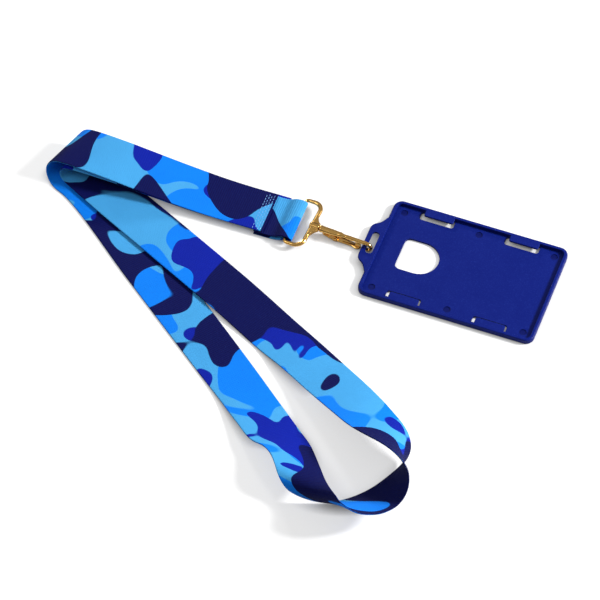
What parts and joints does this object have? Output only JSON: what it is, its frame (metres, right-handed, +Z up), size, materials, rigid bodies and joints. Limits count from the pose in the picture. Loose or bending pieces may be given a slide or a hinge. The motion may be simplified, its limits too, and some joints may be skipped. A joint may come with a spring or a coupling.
{
  "type": "lanyard badge holder",
  "caption": "Neck strap sewn into a loop, with a swivel snap hook holding a rigid open-faced card holder.",
  "frame": {"origin": "centre of the bounding box's base, on the surface that the lanyard lies on", "axes": "+Z up from that surface, +X from the strap's sewn run through the hook to the holder's far short edge, +Y across the holder, away from the strap's bottom turn"},
  "size_m": [0.267, 0.1948, 0.0251],
  "materials": {
    "holder_plastic": "moulded, semi-gloss, fine-grained",
    "gold_plate": "polished gold-coloured plating on zinc casting",
    "spring_steel": "straw-brown tempered strip",
    "printed_webbing": "ribbed polyester webbing with a printed camouflage in blues",
    "thread": "polyester sewing thread"
  },
  "bodies": {
    "strap": {"neck_strap": "printed_webbing", "loop_tab": "printed_webbing", "box_stitching": "thread"},
    "eye": {"strap_eye": "gold_plate"},
    "hook": {"hook_body": "gold_plate", "gate_pin": "gold_plate", "gate_spring": "spring_steel"},
    "gate": {"gate": "gold_plate"},
    "holder": {"card_holder": "holder_plastic"}
  },
  "joints": [
    {"name": "eye_pivot", "type": "hinge", "parent": "strap", "child": "eye", "pos_m": [-0.00298, 0.06652, 0.00372], "axis": [-0.0698, -0.9976, 0], "range_deg": [0, 75]},
    {"name": "swivel", "type": "hinge", "parent": "eye", "child": "hook", "pos_m": [0.00749, 0.06578, 0.00425], "axis": [0.9963, -0.0697, 0.0499], "continuous": true},
    {"name": "gate_hinge", "type": "hinge", "parent": "hook", "child": "gate", "pos_m": [0.01966, 0.06493, 0.0022], "axis": [-0.0698, -0.9976, 0], "range_deg": [0, 10], "stiffness_Nm_per_rad": 0.02, "springref_deg": -20.05, "deforming": ["gate_spring"]},
    {"name": "holder_swing", "type": "hinge", "parent": "hook", "child": "holder", "pos_m": [0.03539, 0.06383, 0.0027], "axis": [0, -1, 0], "range_deg": [0, 50]}
  ]
}
